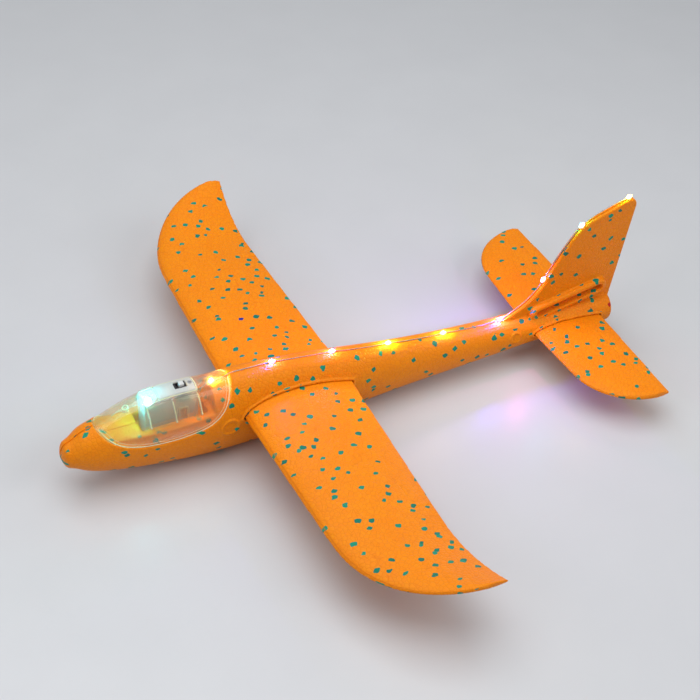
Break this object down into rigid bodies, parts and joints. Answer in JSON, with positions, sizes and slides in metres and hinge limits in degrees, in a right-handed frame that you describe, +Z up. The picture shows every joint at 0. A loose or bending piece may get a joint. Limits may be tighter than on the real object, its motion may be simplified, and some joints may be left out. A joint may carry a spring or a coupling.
{
  "type": "foam hand launch glider",
  "caption": "Foam hand-launch glider with a slotted wing and tailplane, clear lift-off canopy, switched light box and a string of lights along its back.",
  "frame": {"origin": "on the ground under the middle of the glider's length and span", "axes": "+X to the nose, +Y along the span to the port wing tip, +Z up"},
  "size_m": [0.4802, 0.4858, 0.1355],
  "materials": {
    "orange_foam": "moulded bead foam, orange with teal flakes",
    "clear_canopy": "clear, slightly milky",
    "frosted_plastic": "frosted translucent",
    "screw_steel": "zinc plated",
    "board_green": "solder mask",
    "black_epoxy": "potting resin",
    "black_plastic": "moulded",
    "pale_plastic": "moulded",
    "cell_steel": "stainless",
    "contact_metal": "nickel plated strip",
    "silver_wire": "enamelled wire",
    "led_cyan": "clear resin, lit cyan",
    "led_warm": "clear resin, lit warm yellow",
    "led_blue": "clear resin, lit blue-violet",
    "led_pink": "clear resin, lit pink",
    "led_yellow_green": "clear resin, lit yellow-green",
    "led_yellow": "clear resin, lit yellow"
  },
  "bodies": {
    "airframe": {"fuselage_left": "orange_foam", "fuselage_right": "orange_foam", "light_box": "frosted_plastic", "lamp_lens": "clear_canopy", "lamp_led": "led_cyan", "lamp_carrier": "board_green", "circuit_board": "board_green", "flasher_chip": "black_epoxy", "resistors": "black_epoxy", "switch_body": "black_plastic", "button_cells": "cell_steel", "cell_spring": "contact_metal", "led_wire": "silver_wire", "led_bead_1": "led_warm", "led_bead_2": "led_blue", "led_bead_3": "led_pink", "led_bead_4": "led_yellow_green", "led_bead_5": "led_yellow", "led_bead_6": "led_blue", "led_bead_7": "led_pink", "led_bead_8": "led_cyan", "led_bead_9": "led_yellow"},
    "wing": {"main_wing": "orange_foam"},
    "tail": {"tailplane": "orange_foam"},
    "canopy": {"canopy": "clear_canopy"},
    "door": {"battery_door": "frosted_plastic", "battery_door_screw": "screw_steel", "cell_contact": "contact_metal"},
    "knob": {"switch_knob": "pale_plastic"}
  },
  "joints": [
    {"name": "wing_slide", "type": "slide", "parent": "airframe", "child": "wing", "axis": [0, 1, 0], "range_m": [-0.11, 0.11]},
    {"name": "tail_slide", "type": "slide", "parent": "airframe", "child": "tail", "axis": [0, 1, 0], "range_m": [-0.04, 0.13]},
    {"name": "canopy_lift", "type": "slide", "parent": "airframe", "child": "canopy", "axis": [0, 0, 1], "range_m": [0, 0.06]},
    {"name": "door_lift", "type": "slide", "parent": "airframe", "child": "door", "axis": [0, 0, 1], "range_m": [0, 0.03]},
    {"name": "switch_slide", "type": "slide", "parent": "airframe", "child": "knob", "axis": [1, 0, 0], "range_m": [0, 0.0019]}
  ]
}
